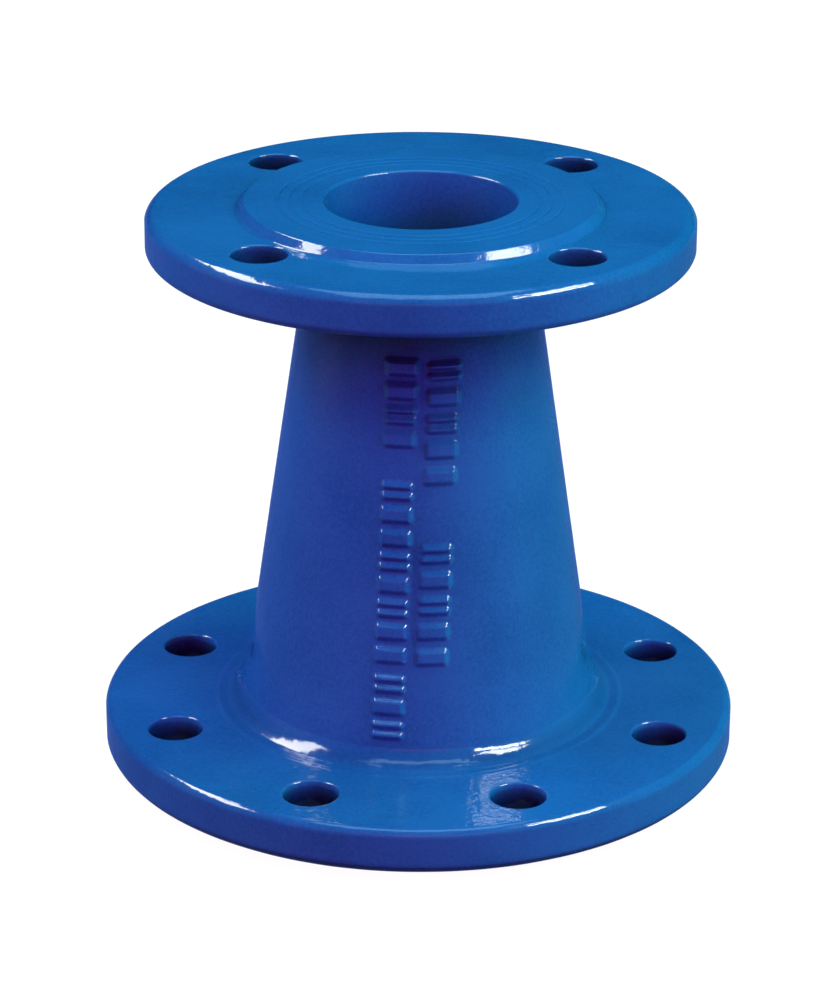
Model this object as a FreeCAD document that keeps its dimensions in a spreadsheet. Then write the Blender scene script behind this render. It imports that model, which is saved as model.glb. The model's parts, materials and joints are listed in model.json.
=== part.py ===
import FreeCAD, Part

import os

import Sketcher

# A double-flanged concentric taper, DN 100 to DN 65, cast in one piece of ductile iron and
# coated. It is modelled as the regions that a foundry drawing names: the conical body, a
# flange with a short neck at each end, a raised sealing face on each flange, and two rows of
# raised casting marks on the front of the cone.
#
# Frame: +Z runs along the waterway from the large end to the small end, and the origin is the
# centre of the large end's sealing face. The casting marks face -Y. Lengths are millimetres
# and angles are degrees.

DIMENSIONS = [
    ("face_to_face", 200.0, "large sealing face to small sealing face"),
    ("face_height", 3.0, "height of a raised sealing face"),
    ("face_flare", 2.0, "how much a raised face's radius grows from its top to its base"),
    ("groove_depth", 0.3, "depth of a gasket groove"),
    ("groove_width", 1.0, "width of a gasket groove"),
    ("bore_edge_round", 1.0, "rounding of the waterway's edge at a sealing face"),
    ("face_edge_round", 0.8, "rounding of a raised face's outer edge"),
    ("back_step", 0.4, "how far the turned back of a flange lies below its cast land"),
    ("hole_dia", 18.5, "bolt hole after coating, for M16 bolts"),
    ("hole_edge_round", 0.8, "rounding of a bolt hole's edges"),
    ("small_bore_dia", 65.0, "waterway at the small end"),
    ("small_rim_dia", 185.0, "outside of the small flange"),
    ("small_rim_height", 15.0, "thickness of the small flange without its raised face"),
    ("small_face_dia", 118.5, "sealing face of the small flange"),
    ("small_first_groove", 40.0, "radius of the small face's innermost gasket groove"),
    ("small_groove_step", 4.0, "distance from one small gasket groove to the next"),
    ("small_bolt_circle", 145.0, "bolt circle of the small flange"),
    ("small_hole_count", 4, "bolt holes in the small flange"),
    ("small_first_hole", 45.0, "angle of the small flange's first bolt hole from +X"),
    ("small_land_dia", 106.0, "cast land round the small neck"),
    ("small_neck", 8.0, "length of the small flange's neck"),
    ("small_neck_round", 5.0, "root fillet between the small flange and its neck"),
    ("small_front_round", 3.0, "rounding of the small rim's edge at the sealing side"),
    ("small_back_round", 2.5, "rounding of the small rim's edge at the neck side"),
    ("small_cone_dia", 76.2, "outside of the cone where it meets the small flange's back"),
    ("large_bore_dia", 100.0, "waterway at the large end"),
    ("large_rim_dia", 220.0, "outside of the large flange"),
    ("large_rim_height", 17.0, "thickness of the large flange without its raised face"),
    ("large_face_dia", 153.0, "sealing face of the large flange"),
    ("large_first_groove", 58.0, "radius of the large face's innermost gasket groove"),
    ("large_groove_step", 5.0, "distance from one large gasket groove to the next"),
    ("large_bolt_circle", 180.0, "bolt circle of the large flange"),
    ("large_hole_count", 8, "bolt holes in the large flange"),
    ("large_first_hole", 22.5, "angle of the large flange's first bolt hole from +X"),
    ("large_land_dia", 142.0, "cast land round the large neck"),
    ("large_neck", 6.0, "length of the large flange's neck"),
    ("large_neck_round", 4.0, "root fillet between the large flange and its neck"),
    ("large_front_round", 3.4, "rounding of the large rim's edge at the sealing side"),
    ("large_back_round", 2.4, "rounding of the large rim's edge at the neck side"),
    ("large_cone_dia", 123.8, "outside of the cone where it meets the large flange's back"),
    ("mark_relief", 1.7, "how far a casting mark stands out of the cone"),
    ("mark_tall", 6.4, "size of one casting mark along the cone"),
    ("long_mark_wide", 11.6, "size of a mark of the long row across the cone"),
    ("mark_lean", 0.036, "how far a row of marks moves towards +X for each mm of height"),
    ("long_mark_centre", -10.6, "X of the long row's middle line at the large sealing face"),
    ("long_mark_pitch", 8.0, "distance from one mark of the long row to the next"),
    ("long_first_start", 28.5, "Z where the long row's first group starts"),
    ("long_first_count", 3, "marks in the long row's first group"),
    ("long_second_start", 54.5, "Z where the long row's second group starts"),
    ("long_second_count", 8, "marks in the long row's second group"),
    ("long_third_start", 128.0, "Z where the long row's third group starts"),
    ("long_third_count", 4, "marks in the long row's third group"),
    ("short_mark_wide", 10.6, "size of a mark of the short row across the cone"),
    ("short_mark_centre", 3.3, "X of the short row's middle line at the large sealing face"),
    ("short_mark_pitch", 8.8, "distance from one mark of the short row to the next"),
    ("short_first_start", 54.0, "Z where the short row's first group starts"),
    ("short_first_count", 5, "marks in the short row's first group"),
    ("short_second_start", 115.5, "Z where the short row's second group starts"),
    ("short_second_count", 5, "marks in the short row's second group"),
]

GROOVES_PER_FACE = 3
FULL_TURN = 360.0
SAME_MM = 0.001  # lengths closer than this are one

# The cone's wall runs straight between the backs of the two flanges.
LARGE_BACK = "(dims.face_height + dims.large_rim_height)"
SMALL_BACK = "(dims.face_height + dims.small_rim_height)"
CONE_LENGTH = f"(dims.face_to_face - {LARGE_BACK} - {SMALL_BACK})"
CONE_SLOPE = f"((dims.large_cone_dia - dims.small_cone_dia) / 2 / {CONE_LENGTH})"
LARGE_NECK_RADIUS = f"(dims.large_cone_dia / 2 - {CONE_SLOPE} * dims.large_neck)"
SMALL_NECK_RADIUS = f"(dims.small_cone_dia / 2 + {CONE_SLOPE} * dims.small_neck)"
LARGE_NECK_END = f"({LARGE_BACK} + dims.large_neck)"
SMALL_NECK_END = f"({SMALL_BACK} + dims.small_neck)"
BODY_LENGTH = f"(dims.face_to_face - {LARGE_NECK_END} - {SMALL_NECK_END})"

doc = FreeCAD.newDocument("concentric_taper")


def fill_sheet():
    """The spreadsheet of driving dimensions: what each is in A, its value in B."""
    sheet = doc.addObject("Spreadsheet::Sheet", "dims")
    for row, (alias, size, meaning) in enumerate(DIMENSIONS, start=1):
        sheet.set(f"A{row}", meaning)
        sheet.set(f"B{row}", str(size))
        sheet.setAlias(f"B{row}", alias)
    doc.recompute()
    return sheet


def value(expression):
    """The number that an expression on the sheet's cells gives."""
    found = dims.evalExpression(expression)
    return float(getattr(found, "Value", found))


# ---- PartDesign helpers


def new_body(label):
    """An empty body whose label names the sub-part."""
    body = doc.addObject("PartDesign::Body", label)
    body.Label = label
    doc.recompute()
    return body


def new_sketch(body, name, plane_role):
    """A sketch on one of the body's own origin planes."""
    plane = next(p for p in body.Origin.OriginFeatures if p.Role == plane_role)
    sketch = body.newObject("Sketcher::SketchObject", name)
    sketch.AttachmentSupport = [(plane, "")]
    sketch.MapMode = "FlatFace"
    return sketch


def bind(sketch, kind, geometry, point, expression):
    """Holds one point of the sketch at a distance from its origin that the sheet drives."""
    size = value(expression)
    if abs(size) < SAME_MM:
        axis = -1 if kind == "DistanceY" else -2
        sketch.addConstraint(Sketcher.Constraint("PointOnObject", geometry, point, axis))
        return
    held = Sketcher.Constraint(kind, -1, 1, geometry, point, size)
    index = sketch.addConstraint(held)
    sketch.setExpression(f"Constraints[{index}]", expression)


def turned_solid(body, name, corners):
    """A solid of revolution about Z; each corner is (distance from Z, height) in words."""
    sketch = new_sketch(body, name + "_outline", "XZ_Plane")
    points = [FreeCAD.Vector(value(across), value(up), 0) for across, up in corners]
    count = len(points)
    for i in range(count):
        side = Part.LineSegment(points[i], points[(i + 1) % count])
        sketch.addGeometry(side, False)
    for i, (across, up) in enumerate(corners):
        sketch.addConstraint(Sketcher.Constraint("Coincident", i, 2, (i + 1) % count, 1))
        bind(sketch, "DistanceX", i, 1, across)
        bind(sketch, "DistanceY", i, 1, up)
    turned = body.newObject("PartDesign::Revolution", name)
    turned.Profile = sketch
    turned.ReferenceAxis = (sketch, ["V_Axis"])
    turned.Angle = FULL_TURN
    doc.recompute()
    return turned


def rings(shape, radius, height, on_axis=True):
    """Names of the shape's round edges of one radius at one height."""
    found = []
    for i, edge in enumerate(shape.Edges, start=1):
        if not isinstance(edge.Curve, Part.Circle):
            continue
        centre = edge.Curve.Center
        off_axis = (centre.x**2 + centre.y**2) ** 0.5
        if (
            abs(edge.Curve.Radius - radius) < SAME_MM
            and abs(centre.z - height) < SAME_MM
            and (off_axis < SAME_MM) == on_axis
        ):
            found.append(f"Edge{i}")
    if not found:
        raise ValueError(f"no round edge of radius {radius} at height {height}")
    return found


def rounded(body, name, base, edges, radius):
    """A fillet on named edges of the body's last feature."""
    fillet = body.newObject("PartDesign::Fillet", name)
    fillet.Base = (base, edges)
    fillet.setExpression("Radius", radius)
    doc.recompute()
    return fillet


def drilled(body, end, base):
    """Bolt holes through a flange, evenly spaced on its bolt circle, with rounded edges."""
    circle = f"dims.{end}_bolt_circle / 2"
    angle = f"dims.{end}_first_hole"
    across = f"{circle} * cos({angle})"
    along = f"{circle} * sin({angle})"
    sketch = new_sketch(body, end + "_hole_outline", "XY_Plane")
    centre = FreeCAD.Vector(value(across), value(along), 0)
    hole = Part.Circle(centre, FreeCAD.Vector(0, 0, 1), value("dims.hole_dia / 2"))
    sketch.addGeometry(hole, False)
    bind(sketch, "DistanceX", 0, 3, across)
    bind(sketch, "DistanceY", 0, 3, along)
    size = sketch.addConstraint(Sketcher.Constraint("Diameter", 0, value("dims.hole_dia")))
    sketch.setExpression(f"Constraints[{size}]", "dims.hole_dia")

    pocket = body.newObject("PartDesign::Pocket", end + "_hole")
    pocket.Profile = sketch
    pocket.Type = "ThroughAll"
    pocket.Reversed = True
    doc.recompute()
    if pocket.Shape.Volume > base.Shape.Volume - 1.0:
        raise ValueError(f"the {end} bolt hole cut nothing")

    circle_of_holes = body.newObject("PartDesign::PolarPattern", end + "_holes")
    circle_of_holes.Originals = [pocket]
    circle_of_holes.Axis = (sketch, ["N_Axis"])
    circle_of_holes.Angle = FULL_TURN
    circle_of_holes.setExpression("Occurrences", f"dims.{end}_hole_count")
    body.Tip = circle_of_holes
    doc.recompute()

    radius = value("dims.hole_dia / 2")
    front = value("dims.face_height")
    back = value(f"{front} + dims.{end}_rim_height - dims.back_step")
    edges = rings(circle_of_holes.Shape, radius, front, on_axis=False)
    edges += rings(circle_of_holes.Shape, radius, back, on_axis=False)
    return rounded(body, end + "_hole_edges", circle_of_holes, edges, "dims.hole_edge_round")


# ---- sub-parts


def flange(end, back, neck_end, neck_radius):
    """A flange and its neck, built up from the sealing side: the sealing face is at height 0."""
    body = new_body(end + "_flange")
    bore = f"dims.{end}_bore_dia / 2"
    rim = f"dims.{end}_rim_dia / 2"
    land = f"dims.{end}_land_dia / 2"
    turned_back = f"{back} - dims.back_step"
    root = f"dims.{end}_cone_dia / 2"
    plate = turned_solid(
        body,
        end + "_plate",
        [
            (bore, "dims.face_height"),
            (rim, "dims.face_height"),
            (rim, turned_back),
            (land, turned_back),
            (land, back),
            (root, back),
            (neck_radius, neck_end),
            (bore, neck_end),
        ],
    )
    drilled_plate = drilled(body, end, plate)
    front_rim = rings(drilled_plate.Shape, value(rim), value("dims.face_height"))
    front = rounded(
        body, end + "_front_edge", drilled_plate, front_rim, f"dims.{end}_front_round"
    )
    back_rim = rings(front.Shape, value(rim), value(turned_back))
    rear = rounded(body, end + "_back_edge", front, back_rim, f"dims.{end}_back_round")
    root_ring = rings(rear.Shape, value(root), value(back))
    rounded(body, end + "_neck_root", rear, root_ring, f"dims.{end}_neck_round")
    return body


def raised_face(end):
    """The ring that the gasket is pressed on, with its gasket grooves, sealing face at 0."""
    body = new_body(end + "_raised_face")
    bore = f"dims.{end}_bore_dia / 2"
    top = f"dims.{end}_face_dia / 2"
    grooves = []
    for i in range(GROOVES_PER_FACE):
        middle = f"dims.{end}_first_groove + {i} * dims.{end}_groove_step"
        grooves += [
            (f"{middle} - dims.groove_width / 2", "0"),
            (middle, "dims.groove_depth"),
            (f"{middle} + dims.groove_width / 2", "0"),
        ]
    ring = turned_solid(
        body,
        end + "_face_ring",
        [
            (bore, "0"),
            *grooves,
            (top, "0"),
            (f"{top} + dims.face_flare", "dims.face_height"),
            (bore, "dims.face_height"),
        ],
    )
    inner = rings(ring.Shape, value(bore), 0.0)
    bore_edge = rounded(body, end + "_bore_edge", ring, inner, "dims.bore_edge_round")
    outer = rings(bore_edge.Shape, value(top), 0.0)
    rounded(body, end + "_face_edge", bore_edge, outer, "dims.face_edge_round")
    return body


def at_small_end(body):
    """Turns a sub-part built from its sealing face to face up at the small end."""
    flipped = FreeCAD.Rotation(FreeCAD.Vector(1, 0, 0), 180)
    body.Placement = FreeCAD.Placement(FreeCAD.Vector(0, 0, 0), flipped)
    body.setExpression("Placement.Base.z", "dims.face_to_face")
    return body


def taper_body():
    """The conical wall between the two necks, thicker towards the large end."""
    body = new_body("taper_body")
    top = f"{LARGE_NECK_END} + {BODY_LENGTH}"
    turned_solid(
        body,
        "cone_wall",
        [
            ("dims.large_bore_dia / 2", LARGE_NECK_END),
            (LARGE_NECK_RADIUS, LARGE_NECK_END),
            (SMALL_NECK_RADIUS, top),
            ("dims.small_bore_dia / 2", top),
        ],
    )
    return body


def cone(name, extra):
    """The cone's outside between the necks, made larger all round by extra."""
    made = doc.addObject("Part::Cone", name)
    made.setExpression("Radius1", f"{LARGE_NECK_RADIUS} + {extra}")
    made.setExpression("Radius2", f"{SMALL_NECK_RADIUS} + {extra}")
    made.setExpression("Height", BODY_LENGTH)
    made.setExpression("Placement.Base.z", LARGE_NECK_END)
    return made


def mark_blank(name, row, group, index):
    """A block that cuts one casting mark out of the skin of relief over the cone's front."""
    block = doc.addObject("Part::Box", name)
    block.setExpression("Length", f"dims.{row}_mark_wide")
    block.setExpression("Width", "dims.large_rim_dia / 2")
    block.setExpression("Height", "dims.mark_tall")
    height = f"dims.{row}_{group}_start + {index} * dims.{row}_mark_pitch"
    middle = f"dims.{row}_mark_centre + dims.mark_lean * ({height})"
    block.setExpression("Placement.Base.x", f"{middle} - dims.{row}_mark_wide / 2")
    block.setExpression("Placement.Base.y", "-dims.large_rim_dia / 2")
    block.setExpression("Placement.Base.z", height)
    return block


def cast_marks(row, groups):
    """One row of raised marks, each a solid that sits on the cone."""
    blocks = []
    for group in groups:
        for index in range(round(value(f"dims.{row}_{group}_count"))):
            blocks.append(mark_blank(f"{row}_{group}_blank_{index}", row, group, index))
    blanks = doc.addObject("Part::Compound", row + "_blanks")
    blanks.Links = blocks
    skin = doc.addObject("Part::Cut", row + "_skin")
    skin.Base = cone(row + "_relief", "dims.mark_relief")
    skin.Tool = cone(row + "_wall", "0")
    marks = doc.addObject("Part::Common", f"cast_marks_{row}_row")
    marks.Base = skin
    marks.Tool = blanks
    marks.Label = f"cast_marks_{row}_row"
    doc.recompute()
    if len(marks.Shape.Solids) != len(blocks):
        raise ValueError(f"the {row} row has {len(marks.Shape.Solids)} marks")
    return marks


def check(sub_parts):
    """Stops if any object failed, or a sub-part has no valid solid."""
    doc.recompute()
    for made in doc.Objects:
        if "Invalid" in made.State or "Error" in made.State:
            raise ValueError(f"{made.Name} failed: {made.State}")
    for sub_part in sub_parts:
        shape = sub_part.Shape
        if shape.isNull() or not shape.isValid() or not shape.Solids:
            raise ValueError(f"{sub_part.Label} has no valid solid")


dims = fill_sheet()

sub_parts = [
    taper_body(),
    flange("large", LARGE_BACK, LARGE_NECK_END, LARGE_NECK_RADIUS),
    raised_face("large"),
    at_small_end(flange("small", SMALL_BACK, SMALL_NECK_END, SMALL_NECK_RADIUS)),
    at_small_end(raised_face("small")),
    cast_marks("long", ["first", "second", "third"]),
    cast_marks("short", ["first", "second"]),
]
check(sub_parts)

os.makedirs("parts", exist_ok=True)
for sub_part in sub_parts:
    sub_part.Shape.exportStep(os.path.join("parts", sub_part.Label + ".step"))
    box = sub_part.Shape.BoundBox
    print(
        f"{sub_part.Label}: {len(sub_part.Shape.Solids)} solid(s),"
        f" {sub_part.Shape.Volume / 1000:.1f} cm3, z {box.ZMin:.2f} to {box.ZMax:.2f}"
    )
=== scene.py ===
import json
import math
import random

import bmesh
import bpy
import numpy as np
from mathutils import Matrix, Quaternion, Vector


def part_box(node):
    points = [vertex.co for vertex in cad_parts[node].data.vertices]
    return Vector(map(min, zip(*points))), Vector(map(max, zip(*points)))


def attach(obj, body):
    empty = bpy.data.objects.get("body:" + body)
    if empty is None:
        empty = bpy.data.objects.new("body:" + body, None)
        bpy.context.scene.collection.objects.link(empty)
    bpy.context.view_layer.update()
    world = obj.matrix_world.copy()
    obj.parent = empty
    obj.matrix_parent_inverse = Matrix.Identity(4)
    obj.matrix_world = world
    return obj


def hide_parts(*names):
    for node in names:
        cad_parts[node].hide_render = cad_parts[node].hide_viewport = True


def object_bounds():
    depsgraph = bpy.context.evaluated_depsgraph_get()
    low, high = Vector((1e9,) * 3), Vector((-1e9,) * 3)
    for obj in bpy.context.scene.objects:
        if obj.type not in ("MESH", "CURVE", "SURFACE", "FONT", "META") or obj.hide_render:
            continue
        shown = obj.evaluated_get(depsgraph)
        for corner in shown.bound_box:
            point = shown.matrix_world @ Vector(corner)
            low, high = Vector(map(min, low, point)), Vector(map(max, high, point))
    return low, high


# A coated double-flanged taper on a pale floor. Every visible piece is a dense mesh built here
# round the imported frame, one for each CAD node, with the softness that a thick coat gives:
# rounded edges, filled-in corners, and skins that are slightly uneven.

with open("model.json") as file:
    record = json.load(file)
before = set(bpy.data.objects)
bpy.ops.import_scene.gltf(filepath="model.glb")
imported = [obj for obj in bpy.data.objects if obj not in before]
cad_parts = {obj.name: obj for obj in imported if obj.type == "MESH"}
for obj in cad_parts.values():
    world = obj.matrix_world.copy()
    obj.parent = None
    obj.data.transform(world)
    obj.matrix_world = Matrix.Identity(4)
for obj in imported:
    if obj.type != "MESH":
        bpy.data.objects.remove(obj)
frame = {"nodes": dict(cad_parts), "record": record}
cad_low, cad_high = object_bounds()

MM = 0.001
SEED = 7

# ---- sizes that the frame's boxes and mounts don't give

ENDS = {
    "small": {
        "rim_height": 15.0 * MM,
        "land": 53.0 * MM,
        "neck_round": 5.0 * MM,
        "front_round": 3.0 * MM,
        "back_round": 2.5 * MM,
        "grooves": [40.0 * MM, 44.0 * MM, 48.0 * MM],
    },
    "large": {
        "rim_height": 17.0 * MM,
        "land": 71.0 * MM,
        "neck_round": 6.4 * MM,
        "front_round": 3.4 * MM,
        "back_round": 2.4 * MM,
        "grooves": [58.0 * MM, 63.0 * MM, 68.0 * MM],
    },
}
ROOT_FLATNESS = 0.55  # how nearly the coat makes a root a straight slope
RIM_FLATNESS = 0.4  # the same for the rounded edges of a rim
BACK_STEP = 0.4 * MM  # the turned back of a flange lies this much below its land
FRONT_STEP = 0.15 * MM  # and the plate round a raised face this much below its root
HOLE_ROUND = 0.55 * MM
HOLE_FLATNESS = 0.6  # and for the edges of the bolt holes
BORE_ROUND = 1.0 * MM
FACE_ROUND = 0.8 * MM
FACE_FLARE = 2.0 * MM
FACE_ROOT = 1.1 * MM
FACE_STEP = 0.2 * MM  # between points across the grooves
FACE_OVERLAP = 0.5 * MM  # how far a plate goes in under a raised face's foot
APRON = 5.0 * MM  # the skin of a raised face spreads this far over its plate
APRON_GAP = 0.2 * MM  # and stays this far from the bolt holes
LAND_STEP = 2.0 * MM  # width of the soft step down from a land
CONE_ROW = 1.3 * MM
GROOVE_DEPTH = 0.22 * MM
GROOVE_HALF = 0.8 * MM
AROUND = 336  # steps round every ring, so that neighbours share their corners
SUNK = 0.4 * MM  # how far a raised face's foot goes into its plate

UNEVEN = 0.09 * MM  # deepest hollow of the coat
UNEVEN_WAVES = 36
UNEVEN_SHORTEST = 7.0 * MM
UNEVEN_LONGEST = 48.0 * MM
SEAM_FADE = 5.0 * MM

MARK_RELIEF = 1.6 * MM
MARK_FOOT = 0.03 * MM  # the marks' skin lies this much above the cone
MARK_UNDER = 0.6 * MM  # and closes this much below it
MARK_SOFT = 1.15 * MM  # width of a mark's sloping side
MARK_CELL = 0.33 * MM
MARK_MARGIN = 1.3 * MM
MARK_GAP = 3.0 * MM  # a wider gap than this starts a new group


# ---- reading the frame

mounts = {mount["name"]: mount for mount in frame["record"]["mounts"]}


def radius_at(node, height):
    """The largest distance from the axis among a node's points at one height."""
    points = np.array([v.co for v in frame["nodes"][node].data.vertices])
    level = points[np.abs(points[:, 2] - height) < 0.05 * MM]
    return float(np.hypot(level[:, 0], level[:, 1]).max())


def solids_of(node):
    """The lowest and highest corner of each separate solid in a CAD node, lowest first."""
    shape = bmesh.new()
    shape.from_mesh(frame["nodes"][node].data)
    bmesh.ops.remove_doubles(shape, verts=shape.verts, dist=0.01 * MM)
    left = set(shape.verts)
    boxes = []
    while left:
        reached = [left.pop()]
        for vertex in reached:
            for edge in vertex.link_edges:
                other = edge.other_vert(vertex)
                if other in left:
                    left.remove(other)
                    reached.append(other)
        points = np.array([vertex.co for vertex in reached])
        boxes.append((points.min(0), points.max(0)))
    shape.free()
    return sorted(boxes, key=lambda box: box[0][2])


class End:
    """One end's sizes, as distances from the axis and depths below its sealing face."""

    def __init__(self, name):
        style = ENDS[name]
        face_low, face_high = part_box(name + "_raised_face")
        plate_low, plate_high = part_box(name + "_flange")
        holes = mounts[name + "_bolt_circle"]["dims"]
        self.name = name
        self.up = name == "small"
        self.sealing_z = face_high.z if self.up else face_low.z
        self.front = face_high.z - face_low.z
        self.back = self.front + style["rim_height"]
        self.neck_end = self.front + plate_high.z - plate_low.z
        self.rim = max(plate_high.x, plate_high.y)
        self.bore = mounts[name + "_bore"]["dims"]["r_mm"] * MM
        self.face = radius_at(name + "_raised_face", self.place(self.front)) - FACE_FLARE
        self.hole_circle = holes["pcd_mm"] / 2 * MM
        self.hole = holes["hole_r_mm"] * MM
        self.hole_count = holes["count"]
        self.neck = radius_at(name + "_flange", self.place(self.neck_end))
        self.style = style

    def place(self, depth):
        """The height in the frame of a depth below this end's sealing face."""
        return self.sealing_z - depth if self.up else self.sealing_z + depth


small = End("small")
large = End("large")
cone_low = large.place(large.neck_end)
cone_high = small.place(small.neck_end)
cone_slope = (large.neck - small.neck) / (cone_high - cone_low)
lean = math.atan(cone_slope)


def cone_radius(z):
    """The outside of the cone at a height."""
    return large.neck - cone_slope * (z - cone_low)


# ---- the coat's unevenness


def make_waves():
    """Plane waves in random directions whose sum is a gentle uneven field."""
    draw = random.Random(SEED)
    waves = []
    for _ in range(UNEVEN_WAVES):
        length = UNEVEN_SHORTEST * (UNEVEN_LONGEST / UNEVEN_SHORTEST) ** draw.random()
        direction = Vector([draw.gauss(0, 1) for _ in range(3)]).normalized()
        weight = (length / UNEVEN_LONGEST) ** 0.8
        waves.append((np.array(direction) * math.tau / length, draw.random() * math.tau, weight))
    return waves


WAVES = make_waves()
WAVE_SPREAD = math.sqrt(sum(weight**2 for _, _, weight in WAVES) / 2)


def hollow(points):
    """How deep the coat's surface lies below its nominal place at each point."""
    total = np.zeros(len(points))
    for number, phase, weight in WAVES:
        total += weight * np.sin(points @ number + phase)
    level = np.clip(total / (WAVE_SPREAD * 5) + 0.5, 0, 1)
    return level * UNEVEN


def smooth(t):
    """0 to 1 with flat ends."""
    t = np.clip(t, 0, 1)
    return t * t * (3 - 2 * t)


def seam_fade(z):
    """0 where two pieces of the cone's wall meet, 1 away from there."""
    return smooth(np.abs(z - cone_low) / SEAM_FADE) * smooth(np.abs(z - cone_high) / SEAM_FADE)


# ---- meshes


class Shape:
    """Collects grids of points and joins them into one closed mesh."""

    def __init__(self):
        self.points = []
        self.faces = []
        self.count = 0

    def add(self, rows, wrap=False):
        """Adds a grid, rows x columns x 3. With wrap, the last column joins the first."""
        rows = np.asarray(rows, float)
        height, width = rows.shape[:2]
        index = np.arange(height * width).reshape(height, width) + self.count
        if wrap:
            index = np.concatenate([index, index[:, :1]], axis=1)
        corners = [index[:-1, :-1], index[:-1, 1:], index[1:, 1:], index[1:, :-1]]
        self.faces += np.stack(corners, axis=-1).reshape(-1, 4).tolist()
        self.points.append(rows.reshape(-1, 3))
        self.count += height * width

    def mesh(self, name, sharp_deg=38.0):
        """The joined mesh, smooth but for its real corners."""
        made = bpy.data.meshes.new(name)
        made.from_pydata(np.concatenate(self.points).tolist(), [], self.faces)
        joined = bmesh.new()
        joined.from_mesh(made)
        bmesh.ops.remove_doubles(joined, verts=joined.verts, dist=0.002 * MM)
        bmesh.ops.dissolve_degenerate(joined, edges=joined.edges, dist=0.001 * MM)
        bmesh.ops.recalc_face_normals(joined, faces=joined.faces)
        joined.to_mesh(made)
        joined.free()
        made.polygons.foreach_set("use_smooth", [True] * len(made.polygons))
        made.set_sharp_from_angle(angle=math.radians(sharp_deg))
        return made


def new_piece(name, mesh, material, node):
    """An object for one mesh, which rides on the part's only body and stands for a node."""
    piece = bpy.data.objects.new(name, mesh)
    bpy.context.scene.collection.objects.link(piece)
    mesh.materials.append(material)
    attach(piece, "root")
    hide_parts(node)
    return piece


def roughen(mesh, keep=None):
    """Sinks a mesh's points along their normals by the coat's hollows. keep(points) scales it."""
    count = len(mesh.vertices)
    points = np.zeros(count * 3)
    mesh.vertices.foreach_get("co", points)
    points = points.reshape(-1, 3)
    normals = np.zeros(count * 3)
    mesh.vertices.foreach_get("normal", normals)
    depth = hollow(points)
    if keep is not None:
        depth = depth * keep(points)
    moved = points - normals.reshape(-1, 3) * depth[:, None]
    mesh.vertices.foreach_set("co", moved.ravel())
    mesh.update()


def arc(across, along, radius, start, end, steps):
    """Points of a circular arc in an outline, angles in degrees."""
    angles = np.radians(np.linspace(start, end, steps + 1))
    return [(across + radius * math.cos(a), along + radius * math.sin(a)) for a in angles]


def line(start, end, steps):
    """Evenly spaced points between two outline points, without the ends."""
    parts = np.linspace(0, 1, steps + 1)[1:-1]
    return [(start[0] + (end[0] - start[0]) * t, start[1] + (end[1] - start[1]) * t) for t in parts]


# the angles of every ring, in step with the edges of the plates' sectors
RING_ANGLES = np.arange(AROUND) * math.tau / AROUND


def turned(outline):
    """A grid of rings, one for each (distance from the axis, height)."""
    across = np.array([p[0] for p in outline])[:, None]
    up = np.array([p[1] for p in outline])[:, None]
    x = across * np.cos(RING_ANGLES)
    y = across * np.sin(RING_ANGLES)
    return np.stack([x, y, up + 0 * x], axis=-1)


def eased(curve, flatness):
    """An arc drawn part of the way towards its chord, so that its middle is nearly flat."""
    steps = len(curve) - 1
    chord = [curve[0]] + line(curve[0], curve[-1], steps) + [curve[-1]]
    return [
        (c[0] + (f[0] - c[0]) * flatness, c[1] + (f[1] - c[1]) * flatness)
        for c, f in zip(curve, chord)
    ]


def neck_fillet(end, steps=10):
    """The root between a flange's back and the cone, as (distance from the axis, depth)."""
    size = end.style["neck_round"]
    narrows = -1 if not end.up else 1  # the cone narrows upwards, away from the large flange
    root = end.neck + narrows * -cone_slope * (end.neck_end - end.back)
    centre = root + size / math.cos(lean) + narrows * cone_slope * size
    tangent = 180 + math.degrees(lean) * -narrows
    return eased(arc(centre, end.back + size, size, 270, tangent, steps), ROOT_FLATNESS)


def sector_square(steps_along, steps_side):
    """Points round the edge of the square from -1 to 1, anticlockwise from its low corner."""
    along = np.linspace(-1, 1, steps_along + 1)[:-1]
    side = np.linspace(-1, 1, steps_side + 1)[:-1]
    low = [(t, -1.0) for t in along]
    right = [(1.0, t) for t in side]
    high = [(-t, 1.0) for t in along]
    left = [(-1.0, -t) for t in side]
    return np.array(low + right + high + left)


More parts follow.
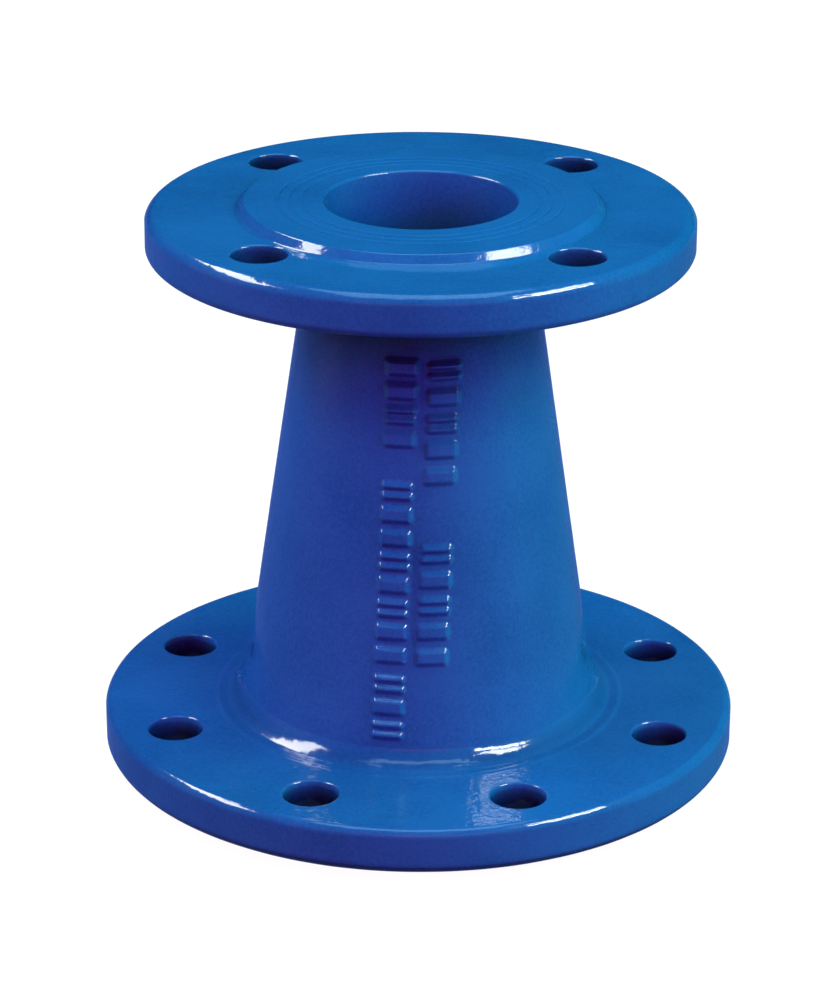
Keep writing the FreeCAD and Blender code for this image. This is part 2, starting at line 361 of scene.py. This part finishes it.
class Plate:
    """The flat faces and bolt holes of a flange, as one ring of sectors with a hole in each."""

    SIDE_STEPS = 24
    LAYERS = 22

    def __init__(self, end):
        self.end = end
        self.half = math.pi / end.hole_count
        self.square = sector_square(AROUND // end.hole_count, self.SIDE_STEPS)
        self.turn = np.arctan2(self.square[:, 1], self.square[:, 0])

    def hole_ring(self, sector, radius, depth):
        """A ring round one bolt hole, its points in step with the sector's edge."""
        middle = self.half * (2 * sector + 1)
        outward = np.array([math.cos(middle), math.sin(middle)])
        sideways = np.array([-math.sin(middle), math.cos(middle)])
        flat = (
            outward * self.end.hole_circle
            + radius * np.cos(self.turn)[:, None] * sideways
            + radius * np.sin(self.turn)[:, None] * outward
        )
        height = np.full((len(flat), 1), self.end.place(depth))
        return np.concatenate([flat, height], axis=1)

    def sector_edge(self, sector, inner, outer, depth):
        """The edge of one sector between two distances from the axis."""
        angle = self.half * (2 * sector + 1) + self.half * self.square[:, 0]
        across = (outer + inner) / 2 + (outer - inner) / 2 * self.square[:, 1]
        height = np.full(len(angle), self.end.place(depth))
        return np.stack([across * np.cos(angle), across * np.sin(angle), height], axis=1)

    def face(self, shape, inner, outer, depth):
        """One flat face: each sector runs from the rounded edge of its hole to its own edge."""
        share = np.linspace(0, 1, self.LAYERS + 1) ** 1.35
        for sector in range(self.end.hole_count):
            ring = self.hole_ring(sector, self.end.hole + HOLE_ROUND, depth)
            edge = self.sector_edge(sector, inner, outer, depth)
            shape.add([ring + (edge - ring) * t for t in share], wrap=True)

    def holes(self, shape, front, back):
        """The walls of the bolt holes, with rounded edges."""
        radius = self.end.hole + HOLE_ROUND
        walls = eased(arc(radius, front + HOLE_ROUND, HOLE_ROUND, -90, -180, 6), HOLE_FLATNESS)
        far = eased(arc(radius, back - HOLE_ROUND, HOLE_ROUND, 180, 90, 6), HOLE_FLATNESS)
        walls += line(walls[-1], far[0], 8) + far
        for sector in range(self.end.hole_count):
            shape.add([self.hole_ring(sector, r, depth) for r, depth in walls], wrap=True)


def make_flange(end, material):
    """A flange plate with its holes, rounded rim, land, root fillet and short neck."""
    style = end.style
    plate = Plate(end)
    shape = Shape()
    turned_back = end.back - BACK_STEP
    front_edge = end.rim - style["front_round"]
    back_edge = end.rim - style["back_round"]
    front_inner = end.face + FACE_FLARE - FACE_OVERLAP
    step_inner = style["land"] + LAND_STEP / 2

    plate.face(shape, front_inner, front_edge, end.front)
    plate.face(shape, step_inner, back_edge, turned_back)
    plate.holes(shape, end.front, turned_back)

    rim = arc(front_edge, end.front + style["front_round"], style["front_round"], -90, 0, 10)
    far_rim = arc(back_edge, turned_back - style["back_round"], style["back_round"], 0, 90, 10)
    rim, far_rim = (eased(curve, RIM_FLATNESS) for curve in (rim, far_rim))
    rim += line(rim[-1], far_rim[0], 10) + far_rim
    shape.add(turned([(r, end.place(d)) for r, d in rim]), wrap=True)

    inside = [(step_inner, turned_back)]
    for t in np.linspace(0, 1, 9)[1:]:
        inside.append((step_inner - LAND_STEP * t, turned_back + BACK_STEP * float(smooth(t))))
    fillet = neck_fillet(end)
    inside += line(inside[-1], fillet[0], 8) + fillet
    neck = (end.neck, end.neck_end)
    inside += line(fillet[-1], neck, 4) + [neck]
    inside += line(neck, (end.bore, end.neck_end), 3) + [(end.bore, end.neck_end)]
    inside += line(inside[-1], (end.bore, end.front), 12) + [(end.bore, end.front)]
    inside += line(inside[-1], (front_inner, end.front), 10) + [(front_inner, end.front)]
    shape.add(turned([(r, end.place(d)) for r, d in inside]), wrap=True)

    mesh = shape.mesh(end.name + "_flange_coated")

    def keep(points):
        """Nothing is sunk on the faces where this piece meets its neighbours."""
        radius = np.hypot(points[:, 0], points[:, 1])
        return seam_fade(points[:, 2]) * (radius > end.bore + 0.5 * MM)

    roughen(mesh, keep)
    return new_piece(mesh.name, mesh, material, end.name + "_flange")


def groove_depth(across, end):
    """Depth of the gasket grooves at a distance from the axis."""
    depth = 0.0
    for middle in end.style["grooves"]:
        off = abs(across - middle) / GROOVE_HALF
        if off < 1:
            depth = max(depth, GROOVE_DEPTH * (0.5 + 0.5 * math.cos(math.pi * off)))
    return depth


def make_raised_face(end, material):
    """The gasket ring with fine grooves, soft edges and a filled-in root."""
    shape = Shape()
    outline = [(end.bore, end.front + SUNK)]
    edge = arc(end.bore + BORE_ROUND, BORE_ROUND, BORE_ROUND, 180, 270, 8)
    outline += line(outline[0], edge[0], 4) + edge
    outer = end.face - FACE_ROUND * 0.6
    flat_steps = round((outer - edge[-1][0]) / FACE_STEP)
    for across in np.linspace(edge[-1][0], outer, flat_steps + 1)[1:]:
        outline.append((float(across), groove_depth(across, end)))
    slope = math.degrees(math.atan2(end.front, FACE_FLARE))
    turn = arc(outer, FACE_ROUND, FACE_ROUND, -90, slope - 90, 7)
    outline += turn[1:]
    foot = end.face + FACE_FLARE
    root = arc(foot + FACE_ROOT * 0.75, end.front - FACE_ROOT, FACE_ROOT, slope + 90, 90, 7)
    outline += line(turn[-1], root[0], 4) + root
    spread = foot + FACE_ROOT + APRON
    apron = min(spread, end.hole_circle - end.hole - HOLE_ROUND - APRON_GAP)
    start = root[-1]
    for t in np.linspace(0, 1, 9)[1:]:
        outline.append(
            (start[0] + (apron - start[0]) * t, end.front + FRONT_STEP * (float(smooth(t)) - 0.5))
        )
    outline.append((apron, end.front + SUNK))
    outline += line(outline[-1], outline[0], 6)
    outline.append(outline[0])
    shape.add(turned([(r, end.place(d)) for r, d in outline]), wrap=True)
    mesh = shape.mesh(end.name + "_raised_face_coated")
    roughen(mesh)
    return new_piece(mesh.name, mesh, material, end.name + "_raised_face")


def on_cone(angle, z, lift=0.0):
    """Points of the cone's coated outside, with its hollows, lifted along the normal."""
    radius = cone_radius(z)
    outward = np.stack([np.cos(angle), np.sin(angle), np.full_like(z, 0)], axis=-1)
    normal = outward * math.cos(lean)
    normal[..., 2] = math.sin(lean)
    points = outward * radius[..., None]
    points[..., 2] = z
    depth = hollow(points.reshape(-1, 3)).reshape(z.shape) * seam_fade(z)
    return points + normal * (lift - depth)[..., None]


def make_taper(material):
    """The conical wall between the necks."""
    shape = Shape()
    rows = round((cone_high - cone_low) / CONE_ROW)
    heights = np.linspace(cone_low, cone_high, rows + 1)
    z, angle = np.meshgrid(heights, RING_ANGLES, indexing="ij")
    shape.add(on_cone(angle, z), wrap=True)
    inside = [(small.neck, cone_high), (small.bore, cone_high), (large.bore, cone_low)]
    inside.append((large.neck, cone_low))
    outline = [inside[0]]
    for start, end, steps in zip(inside, inside[1:], (3, 70, 3)):
        outline += line(start, end, steps) + [end]
    shape.add(turned(outline), wrap=True)
    mesh = shape.mesh("taper_body_coated")
    return new_piece(mesh.name, mesh, material, "taper_body")


# ---- casting marks: each is a blank pad or a pair of bars, which carry no lettering. A shape is
# (across, along, half width, half height) in mm.

BLANKS = {
    "pad": [(0.0, 0.0, 5.0, 2.45)],
    "bars": [(0.0, 1.75, 5.0, 1.0), (0.0, -1.75, 5.0, 1.0)],
}
BLANK_ORDER = ["bars", "pad", "bars", "pad", "pad"]


def bar_height(x, z, bar, middle):
    """0 outside a rounded bar, 1 on top of it, with soft sides."""
    across, along, half_wide, half_tall = (size * MM for size in bar)
    corner = min(half_wide, half_tall, 1.0 * MM)
    off_x = np.abs(x - middle[0] - across) - half_wide + corner
    off_z = np.abs(z - middle[1] - along) - half_tall + corner
    outside = np.hypot(np.maximum(off_x, 0), np.maximum(off_z, 0))
    distance = outside + np.minimum(np.maximum(off_x, off_z), 0) - corner
    return smooth(0.5 - distance / (2 * MARK_SOFT))


def groups_of(boxes):
    """Marks that follow each other closely, as separate lists."""
    groups = [[boxes[0]]]
    for box in boxes[1:]:
        gap = box[0][2] - groups[-1][-1][1][2]
        if gap > MARK_GAP:
            groups.append([])
        groups[-1].append(box)
    return groups


def make_marks(node, first_blank, material):
    """One row of casting marks: a closed skin over each group, which rises into its marks."""
    shape = Shape()
    blank = first_blank
    for group in groups_of(solids_of(node)):
        low = np.min([box[0] for box in group], axis=0) - MARK_MARGIN
        high = np.max([box[1] for box in group], axis=0) + MARK_MARGIN
        columns = round((high[0] - low[0]) / MARK_CELL)
        rows = round((high[2] - low[2]) / MARK_CELL)
        x_line = np.linspace(low[0], high[0], columns + 1)
        z_line = np.linspace(low[2], high[2], rows + 1)
        z, x = np.meshgrid(z_line, x_line, indexing="ij")
        bare = np.ones_like(x)
        for box in group:
            middle = ((box[0][0] + box[1][0]) / 2, (box[0][2] + box[1][2]) / 2)
            for bar in BLANKS[BLANK_ORDER[blank % len(BLANK_ORDER)]]:
                bare *= 1 - bar_height(x, z, bar, middle)
            blank += 1
        angle = -np.arccos(x / cone_radius(z))
        top = on_cone(angle, z, MARK_FOOT + (MARK_RELIEF - MARK_FOOT) * (1 - bare))
        under = on_cone(angle, z, np.full_like(x, -MARK_UNDER))
        shape.add(top)
        shape.add(under)
        for edge in (np.s_[0, :], np.s_[-1, :], np.s_[:, 0], np.s_[:, -1]):
            shape.add([top[edge], under[edge]])
    mesh = shape.mesh(node + "_coated", sharp_deg=60.0)
    return new_piece(mesh.name, mesh, material, node)


# ---- materials


DEEP = (0.008, 0.076, 0.29)
LIGHT = (0.014, 0.106, 0.37)
# painted shade: the colour the coat is mixed towards where it is closed in
SHADOW = (0.0025, 0.007, 0.035)
COAT_IOR = 1.52
COAT_ROUGHNESS = (0.06, 0.13)

# textures, in features per metre
DRIFT = 28.0
CLOUD = 60.0
NIBS = 75.0
WIDE_PEEL = 170.0
FINE_PEEL = 420.0
GRAIN = 900.0

GRAIN_WEIGHT = 0.7  # against the drift
COLOUR_SPAN = (0.6, 1.0)  # of the weighted sum, from deep to light
WIDE_RELIEF = 0.055 * MM
FINE_RELIEF = 0.012 * MM
NIB_RELIEF = 0.05 * MM
NIB_SIZE = 0.05
OCCLUSION_SAMPLES = 8

# the bore's own painted shade: occlusion where it is fully dark and where it has the coat's colour,
# and how far outside the small bore's radius it reaches
BORE_SHADE = (0.12, 0.4)
BORE_MARGIN = 5.0 * MM
# the cone's painted shade under the small flange fades in over this much height, from this height
# up
CONE_SHADE_FROM = 0.122
CONE_SHADE_FADE = 40.0 * MM
# the large flange's root and its painted shade: its lowest point, level with the plate, and its
# highest point, the share of the way up where the shade is darkest, how light it is there, and
# how far below it the painted shade of the bolt holes and the rim begins
ROOT_LOW = 19.6 * MM
ROOT_HIGH = 26.0 * MM
ROOT_DARKEST = 0.3
ROOT_SHADE = 0.76
ROOT_CLEARANCE = 0.5 * MM
# fine peel on the large flange's slopes and on its flat plate, told apart by their normal's Z
PEEL_ON_SLOPE = 0.35
PEEL_ON_FLAT = 1.7
FLAT_SPAN = (0.985, 0.999)

FLOOR_COLOUR = (0.05, 0.05, 0.05, 1)
FLOOR_ROUGHNESS = 0.9
FLOOR_EMISSION = 0.97
FLOOR_RELIEF = 0.02 * MM


def link(tree, source, target):
    tree.links.new(source, target)


def noise(tree, coordinates, scale, detail=2.0, roughness=0.5):
    """A noise texture in object space; scale is features per metre."""
    node = tree.nodes.new("ShaderNodeTexNoise")
    node.inputs["Scale"].default_value = scale
    node.inputs["Detail"].default_value = detail
    node.inputs["Roughness"].default_value = roughness
    link(tree, coordinates, node.inputs["Vector"])
    return node.outputs["Fac"]


def remap(tree, source, low, high, from_low=0.3, from_high=0.7):
    """Maps one range to another; the default is a texture's usual range."""
    node = tree.nodes.new("ShaderNodeMapRange")
    node.inputs["From Min"].default_value = from_low
    node.inputs["From Max"].default_value = from_high
    node.inputs["To Min"].default_value = low
    node.inputs["To Max"].default_value = high
    link(tree, source, node.inputs["Value"])
    return node.outputs["Result"]


def combine(tree, operation, *values):
    """A Math node on sockets and plain numbers."""
    node = tree.nodes.new("ShaderNodeMath")
    node.operation = operation
    for socket, value in zip(node.inputs, values):
        if isinstance(value, float):
            socket.default_value = value
        else:
            link(tree, value, socket)
    return node.outputs[0]


def upward(tree, vector):
    """The Z of a position or direction."""
    node = tree.nodes.new("ShaderNodeSeparateXYZ")
    link(tree, vector, node.inputs["Vector"])
    return node.outputs["Z"]


def bump(tree, height, distance, below=None):
    """A bump of that many metres, on top of another."""
    node = tree.nodes.new("ShaderNodeBump")
    node.inputs["Strength"].default_value = 1.0
    node.inputs["Distance"].default_value = distance
    link(tree, height, node.inputs["Height"])
    if below is not None:
        link(tree, below, node.inputs["Normal"])
    return node.outputs["Normal"]


def coat_colour(tree, place):
    """Blue that drifts with the coat's thickness and has a fine grain."""
    drift = noise(tree, place, DRIFT, detail=3.0)
    grain = noise(tree, place, GRAIN)
    blend = combine(tree, "MULTIPLY_ADD", grain, GRAIN_WEIGHT, drift)
    colour = tree.nodes.new("ShaderNodeValToRGB")
    deepest, lightest = colour.color_ramp.elements
    deepest.position, lightest.position = COLOUR_SPAN
    deepest.color = (*DEEP, 1)
    lightest.color = (*LIGHT, 1)
    link(tree, blend, colour.inputs["Fac"])
    return colour.outputs["Color"]


def bore_openness(tree, place, occlusion, openness, bore_edge):
    """In the bore, lit only through its mouth, a painted shade of its own replaces the other."""
    flat = tree.nodes.new("ShaderNodeVectorMath")
    flat.operation = "MULTIPLY"
    flat.inputs[1].default_value = (1, 1, 0)
    link(tree, place, flat.inputs[0])
    radius = tree.nodes.new("ShaderNodeVectorMath")
    radius.operation = "LENGTH"
    link(tree, flat.outputs[0], radius.inputs[0])
    within = combine(tree, "LESS_THAN", radius.outputs["Value"], bore_edge)
    chosen = tree.nodes.new("ShaderNodeMix")
    link(tree, within, chosen.inputs["Factor"])
    link(tree, openness, chosen.inputs["A"])
    link(tree, remap(tree, occlusion, 0.0, 1.0, *BORE_SHADE), chosen.inputs["B"])
    return chosen.outputs["Result"]


def root_openness(tree, place, openness):
    """Holes and rim keep their painted shade; the large flange's root gets a painted dark middle.
    """
    height = upward(tree, place)
    upper = combine(tree, "GREATER_THAN", height, ROOT_LOW - ROOT_CLEARANCE)
    outside = combine(tree, "MAXIMUM", upper, openness)
    darkest = ROOT_LOW + ROOT_DARKEST * (ROOT_HIGH - ROOT_LOW)
    falling = remap(tree, height, 1.0, ROOT_SHADE, ROOT_LOW, darkest)
    rising = remap(tree, height, ROOT_SHADE, 1.0, darkest, ROOT_HIGH)
    return combine(tree, "MULTIPLY", combine(tree, "MAXIMUM", falling, rising), outside)


def epoxy(
    name, peel, fine, reach, closed, open_at, cone_shade=False, root=False, bore_edge=0.0
):
    """Glossy blue epoxy with orange peel, a few dust nibs, and painted shade where it is closed in.

    peel and fine scale the two sizes of orange peel. A place is painted fully dark where its
    ambient occlusion over the distance reach is below closed, and has its own colour above open_at.
    cone_shade, root and bore_edge turn on the painted shades of the cone, large flange and bore.
    """
    material = bpy.data.materials.new(name)
    material.use_nodes = True
    tree = material.node_tree
    shader = tree.nodes["Principled BSDF"]
    place = tree.nodes.new("ShaderNodeTexCoord").outputs["Object"]

    # painted shade: ambient occlusion mixes the coat's colour towards SHADOW in creases, holes and
    # under overhangs
    crease = tree.nodes.new("ShaderNodeAmbientOcclusion")
    crease.inputs["Distance"].default_value = reach
    crease.samples = OCCLUSION_SAMPLES
    occlusion = crease.outputs["AO"]
    openness = remap(tree, occlusion, 0.0, 1.0, closed, open_at)
    # painted shade under the small flange: below CONE_SHADE_FROM the cone keeps its own colour
    if cone_shade:
        fade_end = CONE_SHADE_FROM + CONE_SHADE_FADE
        low = remap(tree, upward(tree, place), 1.0, 0.0, CONE_SHADE_FROM, fade_end)
        openness = combine(tree, "MAXIMUM", openness, low)
    if bore_edge:
        openness = bore_openness(tree, place, occlusion, openness, bore_edge)
    if root:
        openness = root_openness(tree, place, openness)
    shade = tree.nodes.new("ShaderNodeMixRGB")
    link(tree, openness, shade.inputs["Fac"])
    shade.inputs["Color1"].default_value = (*SHADOW, 1)
    link(tree, coat_colour(tree, place), shade.inputs["Color2"])
    link(tree, shade.outputs["Color"], shader.inputs["Base Color"])

    cloud = noise(tree, place, CLOUD, detail=4.0, roughness=0.6)
    link(tree, remap(tree, cloud, *COAT_ROUGHNESS), shader.inputs["Roughness"])
    shader.inputs["IOR"].default_value = COAT_IOR
    shader.inputs["Metallic"].default_value = 0.0

    wide_peel = noise(tree, place, WIDE_PEEL, detail=1.0)
    fine_peel = noise(tree, place, FINE_PEEL)
    if root:
        facing = tree.nodes.new("ShaderNodeNewGeometry").outputs["True Normal"]
        level = remap(tree, upward(tree, facing), PEEL_ON_SLOPE, PEEL_ON_FLAT, *FLAT_SPAN)
        fine_peel = combine(tree, "MULTIPLY", fine_peel, level)
    nibs = tree.nodes.new("ShaderNodeTexVoronoi")
    nibs.inputs["Scale"].default_value = NIBS
    link(tree, place, nibs.inputs["Vector"])
    nib = remap(tree, nibs.outputs["Distance"], 1.0, 0.0, 0.0, NIB_SIZE)
    skin = bump(tree, wide_peel, WIDE_RELIEF * peel)
    skin = bump(tree, fine_peel, FINE_RELIEF * fine, skin)
    skin = bump(tree, nib, NIB_RELIEF, skin)
    link(tree, skin, shader.inputs["Normal"])
    return material


def floor_paper():
    """Pale matt floor with a barely visible tooth."""
    material = bpy.data.materials.new("floor_paper")
    material.use_nodes = True
    tree = material.node_tree
    shader = tree.nodes["Principled BSDF"]
    place = tree.nodes.new("ShaderNodeTexCoord").outputs["Object"]
    shader.inputs["Base Color"].default_value = FLOOR_COLOUR
    shader.inputs["Roughness"].default_value = FLOOR_ROUGHNESS
    link(tree, bump(tree, noise(tree, place, GRAIN), FLOOR_RELIEF), shader.inputs["Normal"])
    shader.inputs["Emission Color"].default_value = (1, 1, 1, 1)
    shader.inputs["Emission Strength"].default_value = FLOOR_EMISSION
    return material


# ---- stage, lights and camera

FLOOR_SIZE = 14.0
FLOOR_GAP = 0.05 * MM


def make_floor():
    """A wide floor at the height that the part stands on."""
    place = (0, 0, cad_low.z - FLOOR_GAP)
    bpy.ops.mesh.primitive_plane_add(size=FLOOR_SIZE, location=place)
    floor = bpy.context.object
    floor.name = "floor"
    floor.data.materials.append(floor_paper())
    floor.visible_diffuse = False
    floor.visible_glossy = False


def aim(thing, place, target):
    """Puts a light or camera at a place, looking at a target."""
    thing.location = place
    thing.rotation_mode = "QUATERNION"
    thing.rotation_quaternion = (Vector(target) - Vector(place)).to_track_quat("-Z", "Y")


def softbox(name, azimuth, elevation, distance, size, power, colour, glossy=True):
    """A soft rectangular light. Azimuth 0 stands where the viewer does, 90 on the right."""
    turn = math.radians(azimuth)
    rise = math.radians(elevation)
    centre = Vector((0, 0, (cad_low.z + cad_high.z) / 2))
    away = Vector(
        (math.sin(turn) * math.cos(rise), -math.cos(turn) * math.cos(rise), math.sin(rise))
    )
    data = bpy.data.lights.new(name, "AREA")
    data.shape = "RECTANGLE"
    data.size, data.size_y = size
    data.energy = power
    data.color = colour
    light = bpy.data.objects.new(name, data)
    bpy.context.scene.collection.objects.link(light)
    aim(light, centre + away * distance, centre)
    light.visible_camera = False
    light.visible_glossy = glossy
    return light


# name, azimuth, elevation, size, then power in each of red, green and blue
FILLS = [
    ("front", 0, 22, (1.6, 0.5), (36.0, 0.2, 0.6)),
    ("front_high", 0, 40, (0.8, 0.5), (0.1, 0.1, 4.5)),
    ("left_low", -90, 5, (0.8, 0.8), (9.0, 6.0, 8.3)),
    ("left_middle", -90, 22, (0.9, 0.28), (5.0, 3.6, 5.1)),
    ("left_high", -90, 40, (0.8, 0.5), (0.2, 8.0, 11.3)),
    ("right_front", 45, 22, (0.9, 0.28), (0.2, 1.6, 15.5)),
    ("right_front_high", 45, 40, (0.8, 0.5), (0.2, 11.4, 3.0)),
    ("right_low", 90, 5, (0.8, 0.8), (0.5, 20.6, 6.1)),
    ("right_high", 90, 40, (0.8, 0.5), (0.2, 12.7, 7.9)),
    ("overhead", 0, 89, (1.2, 1.2), (0.2, 19.6, 10.7)),
    ("back_low", 180, 5, (1.6, 0.8), (14.0, 9.0, 18.0)),
    ("back_high", 160, 40, (0.8, 0.5), (1.0, 4.0, 7.0)),
]
FILL_DISTANCE = 1.6
# name, azimuth, elevation, size, roll, power, tint
SHINES = [
    ("left_box", -107, 49, (1.0, 0.27), -6, 13.5, (1.0, 1.0, 0.9)),
    ("right_box", 70, 50, (0.56, 0.22), 0, 8.0, (0.95, 1.0, 0.95)),
    ("right_haze", 62, 40, (0.66, 0.12), 0, 9.5, (0.85, 0.95, 1.0)),
    ("top_box", 0, 88, (0.90, 0.90), 0, 7.5, (0.4, 0.75, 1.0)),
]
SHINE_DISTANCE = 1.3

AMBIENT = (0.003, 0.003, 0.01, 1)
ROOM_GLOW = (0.01, 0.01, 0.02, 1)
FLOOR_GLOW = (0.07, 0.13, 0.45, 1)
HORIZON = (0.02, -0.03)  # the directions' height over which the room turns into the floor


def make_lights():
    """Coloured fills that shade the coat, and boxes that only show in its gloss."""
    for name, azimuth, elevation, size, power in FILLS:
        most = max(power)
        tint = tuple(part / most for part in power)
        softbox(name, azimuth, elevation, FILL_DISTANCE, size, most, tint, glossy=False)
    for name, azimuth, elevation, size, roll, power, tint in SHINES:
        light = softbox(name, azimuth, elevation, SHINE_DISTANCE, size, power, tint)
        light.rotation_quaternion @= Quaternion((0, 0, 1), math.radians(roll))
        light.visible_diffuse = False


def make_world():
    """White to the camera. Reflections show a blue floor under a dark room."""
    world = bpy.data.worlds.new("studio")
    bpy.context.scene.world = world
    world.use_nodes = True
    tree = world.node_tree
    tree.nodes.clear()
    rays = tree.nodes.new("ShaderNodeLightPath")
    seen = tree.nodes.new("ShaderNodeBackground")
    seen.inputs["Color"].default_value = (1, 1, 1, 1)
    around = tree.nodes.new("ShaderNodeBackground")
    around.inputs["Color"].default_value = AMBIENT
    place = tree.nodes.new("ShaderNodeTexCoord").outputs["Generated"]
    ramp = tree.nodes.new("ShaderNodeMixRGB")
    link(tree, remap(tree, upward(tree, place), 0.0, 1.0, *HORIZON), ramp.inputs["Fac"])
    ramp.inputs["Color1"].default_value = ROOM_GLOW
    ramp.inputs["Color2"].default_value = FLOOR_GLOW
    mirrored = tree.nodes.new("ShaderNodeBackground")
    link(tree, ramp.outputs["Color"], mirrored.inputs["Color"])
    not_mirror = tree.nodes.new("ShaderNodeMixShader")
    link(tree, rays.outputs["Is Glossy Ray"], not_mirror.inputs[0])
    link(tree, around.outputs[0], not_mirror.inputs[1])
    link(tree, mirrored.outputs[0], not_mirror.inputs[2])
    mixed = tree.nodes.new("ShaderNodeMixShader")
    link(tree, rays.outputs["Is Camera Ray"], mixed.inputs[0])
    link(tree, not_mirror.outputs[0], mixed.inputs[1])
    link(tree, seen.outputs[0], mixed.inputs[2])
    output = tree.nodes.new("ShaderNodeOutputWorld")
    link(tree, mixed.outputs[0], output.inputs["Surface"])


CAMERA_DISTANCE = 1.167
CAMERA_HEIGHT = 0.5655
CAMERA_PITCH_DEG = 22.116
CAMERA_TURN_DEG = 0.85
CAMERA_ROLL_DEG = 0.27
CAMERA_LENS = 131.2
CAMERA_SENSOR = 36.0
CAMERA_SHIFT = -0.0009


def make_camera():
    """A long lens a little above the small flange, looking down at the front."""
    data = bpy.data.cameras.new("camera")
    data.lens = CAMERA_LENS
    data.sensor_width = CAMERA_SENSOR
    data.shift_x = CAMERA_SHIFT
    camera = bpy.data.objects.new("camera", data)
    bpy.context.scene.collection.objects.link(camera)
    turn = Matrix.Rotation(math.radians(CAMERA_TURN_DEG), 4, "Z")
    camera.location = turn @ Vector((0, -CAMERA_DISTANCE, CAMERA_HEIGHT))
    tilt = Matrix.Rotation(math.radians(90 - CAMERA_PITCH_DEG), 4, "X")
    roll = Matrix.Rotation(math.radians(CAMERA_ROLL_DEG), 4, "Z")
    camera.rotation_euler = (turn @ tilt @ roll).to_euler()
    bpy.context.scene.camera = camera


make_camera()
make_world()
make_lights()
make_floor()
bpy.context.scene.view_settings.view_transform = "Standard"

BORE_EDGE = small.bore + BORE_MARGIN
# each coat: its orange peel, its fine peel, and the reach and thresholds of its painted shade
small_coat = epoxy(
    "epoxy_small_flange", 3.5, 4.0, 120 * MM, closed=0.38, open_at=0.78, bore_edge=BORE_EDGE
)
large_coat = epoxy("epoxy_large_flange", 3.5, 9.0, 40 * MM, closed=0.3, open_at=0.5, root=True)
face_coat = epoxy("epoxy_face", 2.0, 8.0, 12 * MM, closed=0.1, open_at=0.7)
body_coat = epoxy(
    "epoxy_body", 4.5, 9.0, 120 * MM, closed=0.62, open_at=0.79, cone_shade=True,
    bore_edge=BORE_EDGE,
)
for end, coat in ((small, small_coat), (large, large_coat)):
    make_flange(end, coat)
    make_raised_face(end, face_coat)
make_taper(body_coat)
make_marks("cast_marks_long_row", 0, body_coat)
make_marks("cast_marks_short_row", 3, body_coat)
